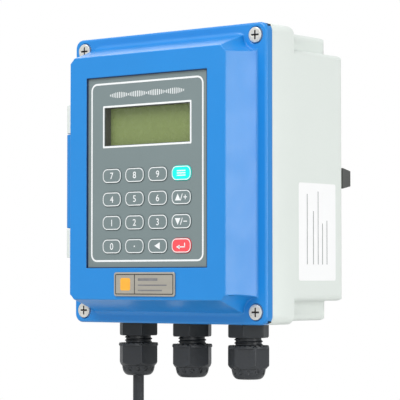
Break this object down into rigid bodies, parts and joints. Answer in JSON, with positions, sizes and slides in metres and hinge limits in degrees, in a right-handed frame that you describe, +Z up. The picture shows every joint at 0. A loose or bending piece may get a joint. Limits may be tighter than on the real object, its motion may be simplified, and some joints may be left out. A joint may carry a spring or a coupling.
{
  "type": "ultrasonic flow meter",
  "caption": "Wall-mounted flow meter transmitter: hinged box with a raised lid, a display window, a keypad and cable glands below, one with a mains lead.",
  "frame": {"origin": "centre of the wall bracket's wall face, midway between its two wall holes", "axes": "+X to the right of someone who reads the display, +Y into the wall, +Z up"},
  "size_m": [0.1766, 0.1255, 0.4325],
  "materials": {
    "housing_plastic": "fine moulded texture",
    "lid_plastic": "semi-gloss",
    "dark_paint": "satin",
    "steel": "bright",
    "brass": "turned",
    "circuit_board": "solder mask",
    "black_plastic": "matte",
    "green_plastic": "matte",
    "blue_plastic": "gloss",
    "capacitor_sleeve": "sleeved",
    "ribbon_grey": "satin",
    "cord_black": "satin",
    "gland_plastic": "satin",
    "seal_rubber": "matte",
    "film_grey": "printed, satin",
    "window_clear": "clear",
    "bezel_steel": "satin",
    "display_green": "matte",
    "key_grey": "satin",
    "key_cyan": "satin",
    "key_red": "satin",
    "plate_metal": "satin"
  },
  "bodies": {
    "base": {"base_housing": "housing_plastic", "wall_bracket": "dark_paint", "bracket_screws": "steel", "screw_inserts": "brass", "main_board": "circuit_board", "board_screws": "steel", "power_module": "black_plastic", "fuse": "black_plastic", "power_terminals": "green_plastic", "signal_terminals": "green_plastic", "relays": "blue_plastic", "capacitors": "capacitor_sleeve", "board_chips": "black_plastic", "ribbon_cable": "ribbon_grey", "mains_wires": "cord_black", "gland_bodies": "gland_plastic", "gland_body_middle": "gland_plastic", "gland_locknuts": "gland_plastic", "gland_seals": "seal_rubber", "hinge_pin": "steel", "cord_runs": "cord_black", "cord_coil": "cord_black", "cord_tie": "black_plastic", "plug_body": "black_plastic", "plug_pins": "brass"},
    "gland_nut_left": {"gland_nut_left": "gland_plastic"},
    "gland_nut_middle": {"gland_nut_middle": "gland_plastic"},
    "gland_nut_right": {"gland_nut_right": "gland_plastic"},
    "lid": {"lid_housing": "lid_plastic", "lid_gasket": "seal_rubber", "keypad_film": "film_grey", "window_lens": "window_clear", "display_bezel": "bezel_steel", "display_panel": "display_green", "display_board": "circuit_board", "display_screws": "steel", "keypad_board": "circuit_board", "snap_domes": "steel", "front_plate": "plate_metal"},
    "key_7": {"key_7": "key_grey"},
    "key_8": {"key_8": "key_grey"},
    "key_9": {"key_9": "key_grey"},
    "key_menu": {"key_menu": "key_cyan"},
    "key_4": {"key_4": "key_grey"},
    "key_5": {"key_5": "key_grey"},
    "key_6": {"key_6": "key_grey"},
    "key_up": {"key_up": "key_grey"},
    "key_1": {"key_1": "key_grey"},
    "key_2": {"key_2": "key_grey"},
    "key_3": {"key_3": "key_grey"},
    "key_down": {"key_down": "key_grey"},
    "key_0": {"key_0": "key_grey"},
    "key_dot": {"key_dot": "key_grey"},
    "key_left": {"key_left": "key_grey"},
    "key_enter": {"key_enter": "key_red"},
    "lid_screw_1": {"lid_screw_1": "steel"},
    "lid_screw_2": {"lid_screw_2": "steel"},
    "lid_screw_3": {"lid_screw_3": "steel"},
    "lid_screw_4": {"lid_screw_4": "steel"}
  },
  "joints": [
    {"name": "lid_hinge", "type": "hinge", "parent": "base", "child": "lid", "pos_m": [-0.0886, -0.08915, 0], "axis": [0, 0, -1], "range_deg": [0, 135]},
    {"name": "key_7_press", "type": "slide", "parent": "lid", "child": "key_7", "axis": [0, 1, 0], "range_m": [0, 0.0004], "stiffness_N_per_m": 2000, "springref_m": -0.0001},
    {"name": "key_8_press", "type": "slide", "parent": "lid", "child": "key_8", "axis": [0, 1, 0], "range_m": [0, 0.0004], "stiffness_N_per_m": 2000, "springref_m": -0.0001},
    {"name": "key_9_press", "type": "slide", "parent": "lid", "child": "key_9", "axis": [0, 1, 0], "range_m": [0, 0.0004], "stiffness_N_per_m": 2000, "springref_m": -0.0001},
    {"name": "key_menu_press", "type": "slide", "parent": "lid", "child": "key_menu", "axis": [0, 1, 0], "range_m": [0, 0.0004], "stiffness_N_per_m": 2000, "springref_m": -0.0001},
    {"name": "key_4_press", "type": "slide", "parent": "lid", "child": "key_4", "axis": [0, 1, 0], "range_m": [0, 0.0004], "stiffness_N_per_m": 2000, "springref_m": -0.0001},
    {"name": "key_5_press", "type": "slide", "parent": "lid", "child": "key_5", "axis": [0, 1, 0], "range_m": [0, 0.0004], "stiffness_N_per_m": 2000, "springref_m": -0.0001},
    {"name": "key_6_press", "type": "slide", "parent": "lid", "child": "key_6", "axis": [0, 1, 0], "range_m": [0, 0.0004], "stiffness_N_per_m": 2000, "springref_m": -0.0001},
    {"name": "key_up_press", "type": "slide", "parent": "lid", "child": "key_up", "axis": [0, 1, 0], "range_m": [0, 0.0004], "stiffness_N_per_m": 2000, "springref_m": -0.0001},
    {"name": "key_1_press", "type": "slide", "parent": "lid", "child": "key_1", "axis": [0, 1, 0], "range_m": [0, 0.0004], "stiffness_N_per_m": 2000, "springref_m": -0.0001},
    {"name": "key_2_press", "type": "slide", "parent": "lid", "child": "key_2", "axis": [0, 1, 0], "range_m": [0, 0.0004], "stiffness_N_per_m": 2000, "springref_m": -0.0001},
    {"name": "key_3_press", "type": "slide", "parent": "lid", "child": "key_3", "axis": [0, 1, 0], "range_m": [0, 0.0004], "stiffness_N_per_m": 2000, "springref_m": -0.0001},
    {"name": "key_down_press", "type": "slide", "parent": "lid", "child": "key_down", "axis": [0, 1, 0], "range_m": [0, 0.0004], "stiffness_N_per_m": 2000, "springref_m": -0.0001},
    {"name": "key_0_press", "type": "slide", "parent": "lid", "child": "key_0", "axis": [0, 1, 0], "range_m": [0, 0.0004], "stiffness_N_per_m": 2000, "springref_m": -0.0001},
    {"name": "key_dot_press", "type": "slide", "parent": "lid", "child": "key_dot", "axis": [0, 1, 0], "range_m": [0, 0.0004], "stiffness_N_per_m": 2000, "springref_m": -0.0001},
    {"name": "key_left_press", "type": "slide", "parent": "lid", "child": "key_left", "axis": [0, 1, 0], "range_m": [0, 0.0004], "stiffness_N_per_m": 2000, "springref_m": -0.0001},
    {"name": "key_enter_press", "type": "slide", "parent": "lid", "child": "key_enter", "axis": [0, 1, 0], "range_m": [0, 0.0004], "stiffness_N_per_m": 2000, "springref_m": -0.0001},
    {"name": "lid_screw_1_lift", "type": "slide", "parent": "lid", "child": "lid_screw_1", "axis": [0, -1, 0], "range_m": [0, 0.006]},
    {"name": "lid_screw_2_lift", "type": "slide", "parent": "lid", "child": "lid_screw_2", "axis": [0, -1, 0], "range_m": [0, 0.006]},
    {"name": "lid_screw_3_lift", "type": "slide", "parent": "lid", "child": "lid_screw_3", "axis": [0, -1, 0], "range_m": [0, 0.006]},
    {"name": "lid_screw_4_lift", "type": "slide", "parent": "lid", "child": "lid_screw_4", "axis": [0, -1, 0], "range_m": [0, 0.006]},
    {"name": "gland_nut_left_turn", "type": "hinge", "parent": "base", "child": "gland_nut_left", "pos_m": [-0.0476, -0.069, -0.12], "axis": [0, 0, -1], "continuous": true},
    {"name": "gland_nut_middle_turn", "type": "hinge", "parent": "base", "child": "gland_nut_middle", "pos_m": [0, -0.069, -0.12], "axis": [0, 0, -1], "continuous": true},
    {"name": "gland_nut_right_turn", "type": "hinge", "parent": "base", "child": "gland_nut_right", "pos_m": [0.0476, -0.069, -0.12], "axis": [0, 0, -1], "continuous": true}
  ]
}
